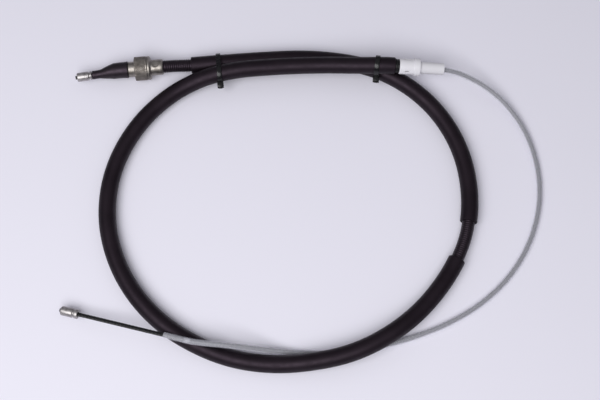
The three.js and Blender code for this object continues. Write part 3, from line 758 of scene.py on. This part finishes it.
def tie_head(bm, place):
    """Block with a recess in its top, and the cut tail that stands out of it."""
    foot = HOSE_RADIUS + TIE_GAP + TIE_THICKNESS / 3
    size = Matrix.Diagonal((HEAD_HEIGHT, HEAD_LENGTH, HEAD_WIDTH, 1))
    middle = Matrix.Translation((foot + HEAD_HEIGHT / 2, 0, 0))
    block = bmesh.ops.create_cube(bm, size=1, matrix=place @ middle @ size)["verts"]
    faces = list({face for vert in block for face in vert.link_faces})
    outward = (place.to_3x3() @ Vector((1, 0, 0))).normalized()
    top = max(faces, key=lambda face: face.calc_center_median().dot(outward))
    bmesh.ops.inset_region(bm, faces=[top], thickness=HEAD_RIM)
    bmesh.ops.translate(bm, verts=top.verts, vec=-outward * HEAD_RECESS)
    tail_size = Matrix.Diagonal((TAIL_REACH, TIE_THICKNESS, TIE_WIDTH - 0.8 * MM, 1))
    tail_middle = Matrix.Translation((foot + HEAD_HEIGHT - 0.5 * MM, 0, 0))
    bmesh.ops.create_cube(bm, size=1, matrix=place @ tail_middle @ tail_size)


def cable_tie(name, node, distance, skew, turn, back_share):
    """Tie around both hoses, at a distance from the collar's front along the lower hose.

    skew turns the band from the lower hose's direction (0) to the upper one's (1). turn sets the
    head's angle in degrees, and back_share how far it sits from the upper hose to the lower.
    """
    lower_place = collar_place + distance
    lower, lower_axis = on_route(lower_place)
    upper, upper_axis = on_route(nearest_on_lever_hose(lower))
    across = (upper - lower).normalized()
    apart = (upper - lower).length
    forward = lower_axis.lerp(upper_axis, skew)
    forward = (forward - across * forward.dot(across)).normalized()
    bm = bmesh.new()
    tie_band(bm, apart)
    head_turn = Matrix.Rotation(math.radians(turn), 4, "Z")
    tie_head(bm, Matrix.Translation((apart * (1 - back_share), 0, 0)) @ head_turn)
    take_edges_off(bm, 0.18 * MM, 40)
    stand = Matrix((across, forward.cross(across), forward)).transposed().to_4x4()
    stand.translation = lower
    bmesh.ops.transform(bm, matrix=stand, verts=bm.verts)
    piece = finish_mesh(name, bm, sharp=40)
    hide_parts(node)
    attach(piece, "casing")
    return piece


left_tie = cable_tie(
    "nylon_tie_left", "cable_tie_left", distance=65.5 * MM, skew=0.05, turn=37, back_share=0,
)
right_tie = cable_tie(
    "nylon_tie_right", "cable_tie_right", distance=191 * MM, skew=0.7, turn=90, back_share=0.5,
)

# %% [markdown]
# ## Finishes
# Each finish is a Principled shader whose roughness and bump come from noise in Object
# coordinates. The pieces don't move inside their own space, so the noise stays on the surface.

# %% Finish helpers
def finish(name, color, roughness, metallic=0.0, specular=0.5, tint=(1, 1, 1)):
    """Material with one Principled shader, and that shader."""
    material = bpy.data.materials.new(name)
    material.use_nodes = True
    shader = material.node_tree.nodes["Principled BSDF"]
    shader.inputs["Base Color"].default_value = (*color, 1)
    shader.inputs["Roughness"].default_value = roughness
    shader.inputs["Metallic"].default_value = metallic
    shader.inputs["Specular IOR Level"].default_value = specular
    shader.inputs["Specular Tint"].default_value = (*tint, 1)
    return material, shader


def noise(material, scale, detail=3.0, stretch=(1, 1, 1)):
    """Noise texture in Object coordinates. A scale of 1000 repeats about every millimetre."""
    nodes = material.node_tree.nodes
    links = material.node_tree.links
    place = nodes.new("ShaderNodeTexCoord")
    mapping = nodes.new("ShaderNodeMapping")
    mapping.inputs["Scale"].default_value = stretch
    texture = nodes.new("ShaderNodeTexNoise")
    texture.inputs["Scale"].default_value = scale
    texture.inputs["Detail"].default_value = detail
    links.new(place.outputs["Object"], mapping.inputs["Vector"])
    links.new(mapping.outputs["Vector"], texture.inputs["Vector"])
    return texture.outputs["Fac"]


def spread(material, value, low, high, start=0.3, end=0.7):
    """Map Range node that turns noise into a range of some number."""
    node = material.node_tree.nodes.new("ShaderNodeMapRange")
    node.inputs["From Min"].default_value = start
    node.inputs["From Max"].default_value = end
    node.inputs["To Min"].default_value = low
    node.inputs["To Max"].default_value = high
    material.node_tree.links.new(value, node.inputs["Value"])
    return node.outputs["Result"]


def two_tone(material, shader, value, first, second):
    """Base colour that goes from one colour to another with a value from 0 to 1."""
    node = material.node_tree.nodes.new("ShaderNodeMix")
    node.data_type = "RGBA"
    node.inputs["A"].default_value = (*first, 1)
    node.inputs["B"].default_value = (*second, 1)
    material.node_tree.links.new(value, node.inputs["Factor"])
    material.node_tree.links.new(node.outputs["Result"], shader.inputs["Base Color"])


def bump(material, shader, value, distance, strength=1.0):
    node = material.node_tree.nodes.new("ShaderNodeBump")
    node.inputs["Distance"].default_value = distance
    node.inputs["Strength"].default_value = strength
    material.node_tree.links.new(value, node.inputs["Height"])
    material.node_tree.links.new(node.outputs["Normal"], shader.inputs["Normal"])


def vary_roughness(material, shader, value, low, high):
    material.node_tree.links.new(spread(material, value, low, high), shader.inputs["Roughness"])


def dress(material, *pieces):
    """Gives pieces, or CAD nodes by name, one material."""
    for piece in pieces:
        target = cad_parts[piece] if isinstance(piece, str) else piece
        if not target.material_slots:
            target.data.materials.append(material)
        for place in target.material_slots:
            place.material = material

# %% Black finishes
PLUM = (1, 0.78, 1)

hose_finish, shader = finish(
    "hose_rubber_black", (0.006, 0.0045, 0.006), 0.5, specular=0.28, tint=PLUM,
)
vary_roughness(hose_finish, shader, noise(hose_finish, 220), 0.44, 0.56)
bump(hose_finish, shader, noise(hose_finish, 1500), 0.03 * MM)
hose_dust = spread(hose_finish, noise(hose_finish, 60, 6), 0, 1, 0.4, 0.75)
two_tone(hose_finish, shader, hose_dust, (0.0035, 0.0022, 0.0032), (0.009, 0.0062, 0.0085))
dress(hose_finish, brake_hose, lever_hose)

casing_finish, shader = finish(
    "casing_skin_black", (0.0075, 0.0055, 0.0075), 0.42, specular=0.34, tint=PLUM,
)
vary_roughness(casing_finish, shader, noise(casing_finish, 500), 0.3, 0.5)
bump(casing_finish, shader, noise(casing_finish, 2500), 0.02 * MM)
dress(casing_finish, casing)

boot_finish, shader = finish(
    "boot_rubber_black", (0.007, 0.006, 0.007), 0.42, specular=0.4, tint=PLUM,
)
vary_roughness(boot_finish, shader, noise(boot_finish, 300), 0.36, 0.5)
bump(boot_finish, shader, noise(boot_finish, 1200), 0.03 * MM)
dress(boot_finish, boot)

tie_finish, shader = finish("tie_nylon_black", (0.004, 0.004, 0.005), 0.26, specular=0.4)
vary_roughness(tie_finish, shader, noise(tie_finish, 700), 0.2, 0.34)
dress(tie_finish, left_tie, right_tie)

plug_finish, shader = finish("plug_plastic_black", (0.005, 0.005, 0.006), 0.36, specular=0.35)
vary_roughness(plug_finish, shader, noise(plug_finish, 900), 0.3, 0.44)
dress(plug_finish, plug)

rope_finish, shader = finish("rope_coat_black", (0.004, 0.004, 0.005), 0.3, specular=0.4)
vary_roughness(rope_finish, shader, noise(rope_finish, 900), 0.22, 0.4)
bump(rope_finish, shader, noise(rope_finish, 2600, 2), 0.03 * MM)
dress(rope_finish, middle_rope, lever_rope, brake_rope)
print("black finishes done")

# %% Metal finishes
zinc_finish, shader = finish("ferrule_zinc_plate", (0.32, 0.29, 0.265), 0.42, 1.0)
vary_roughness(zinc_finish, shader, noise(zinc_finish, 400), 0.36, 0.5)
zinc_cloud = spread(zinc_finish, noise(zinc_finish, 260, 5), 0, 1)
two_tone(zinc_finish, shader, zinc_cloud, (0.22, 0.2, 0.18), (0.42, 0.39, 0.365))
bump(zinc_finish, shader, noise(zinc_finish, 900), 0.05 * MM)
dress(zinc_finish, ferrule)

collar_finish, shader = finish("collar_zinc_plate", (0.27, 0.245, 0.225), 0.4, 1.0)
vary_roughness(collar_finish, shader, noise(collar_finish, 400), 0.34, 0.5)
collar_cloud = spread(collar_finish, noise(collar_finish, 260, 5), 0, 1)
two_tone(collar_finish, shader, collar_cloud, (0.2, 0.18, 0.165), (0.4, 0.365, 0.335))
bump(collar_finish, shader, noise(collar_finish, 3000), 0.01 * MM)
dress(collar_finish, collar)

nipple_finish, shader = finish("nipple_bright_zinc", (0.42, 0.4, 0.4), 0.42, 1.0)
vary_roughness(nipple_finish, shader, noise(nipple_finish, 500), 0.36, 0.5)
nipple_cloud = spread(nipple_finish, noise(nipple_finish, 500, 5), 0, 1)
two_tone(nipple_finish, shader, nipple_cloud, (0.32, 0.3, 0.3), (0.52, 0.5, 0.5))
bump(nipple_finish, shader, noise(nipple_finish, 1200), 0.04 * MM)
dress(nipple_finish, lever_nipple, brake_nipple)

armour_finish, shader = finish("armour_spring_steel", (0.3, 0.3, 0.3), 0.4, 1.0)
vary_roughness(armour_finish, shader, noise(armour_finish, 400), 0.32, 0.5)
dress(armour_finish, "conduit_armour")
print("metal finishes done")

# %% White and milky finishes
bush_finish, shader = finish("bush_plastic_white", (0.77, 0.76, 0.8), 0.4, specular=0.3)
vary_roughness(bush_finish, shader, noise(bush_finish, 600), 0.28, 0.42)
bump(bush_finish, shader, noise(bush_finish, 900), 0.02 * MM)
dress(bush_finish, bush)

liner_finish, shader = finish("liner_plastic_pale", (0.78, 0.78, 0.75), 0.4)
vary_roughness(liner_finish, shader, noise(liner_finish, 500), 0.34, 0.46)
dress(liner_finish, "conduit_liner")

tube_finish, shader = finish("tube_plastic_milky", (0.88, 0.88, 0.97), 0.25)
shader.inputs["Alpha"].default_value = 0.2
vary_roughness(tube_finish, shader, noise(tube_finish, 400), 0.18, 0.32)
dress(tube_finish, tube)
print("pale finishes done")

# %% [markdown]
# ## Floor, light and background
# The photograph was taken on a pale lavender sheet under soft light. A large plane takes that
# colour, and a sky that is brighter overhead fills the shadows. One wide area lamp from the near
# left makes the soft shadows that fall away from the viewer.

# %% Floor
FLOOR_HALF_SIZE = 3
FLOOR_DROP = 0.3 * MM

bm = bmesh.new()
bmesh.ops.create_grid(bm, x_segments=8, y_segments=8, size=FLOOR_HALF_SIZE)
bmesh.ops.translate(bm, verts=bm.verts, vec=(0, 0, -FLOOR_DROP))
floor = finish_mesh("pale_floor", bm)
floor_finish, shader = finish("floor_pale_sheet", (0.83, 0.815, 0.908), 0.75)
vary_roughness(floor_finish, shader, noise(floor_finish, 30), 0.7, 0.8)
dress(floor_finish, floor)

# %% World
SKY_ZENITH = (0.36, 0.36, 0.38)
SKY_HORIZON = (0.11, 0.105, 0.12)

world = bpy.data.worlds.new("soft_studio")
bpy.context.scene.world = world
world.use_nodes = True
sky_nodes = world.node_tree.nodes
sky_links = world.node_tree.links
direction = sky_nodes.new("ShaderNodeTexCoord")
height = sky_nodes.new("ShaderNodeSeparateXYZ")
rise = sky_nodes.new("ShaderNodeMapRange")
rise.inputs["From Min"].default_value = 0.2
rise.inputs["From Max"].default_value = 0.75
sky = sky_nodes.new("ShaderNodeMix")
sky.data_type = "RGBA"
sky.inputs["A"].default_value = (*SKY_HORIZON, 1)
sky.inputs["B"].default_value = (*SKY_ZENITH, 1)
sky_links.new(direction.outputs["Generated"], height.inputs["Vector"])
sky_links.new(height.outputs["Z"], rise.inputs["Value"])
sky_links.new(rise.outputs["Result"], sky.inputs["Factor"])
sky_links.new(sky.outputs["Result"], sky_nodes["Background"].inputs["Color"])

# %% Softbox
def softbox(name, place, target, size, power):
    """Rectangular area lamp that points at a target, with its power in watts."""
    lamp = bpy.data.lights.new(name, "AREA")
    lamp.shape = "RECTANGLE"
    lamp.size, lamp.size_y = size
    lamp.energy = power
    stand = bpy.data.objects.new(name, lamp)
    bpy.context.scene.collection.objects.link(stand)
    stand.location = place
    stand.rotation_mode = "QUATERNION"
    stand.rotation_quaternion = (Vector(target) - Vector(place)).to_track_quat("-Z", "Y")
    return stand


softbox(
    "key_softbox", place=(-0.42, -0.72, 1.25), target=(0, 0, 0), size=(1.4, 1.0), power=19.5,
)
bpy.context.scene.view_settings.view_transform = "Standard"
print("light done")
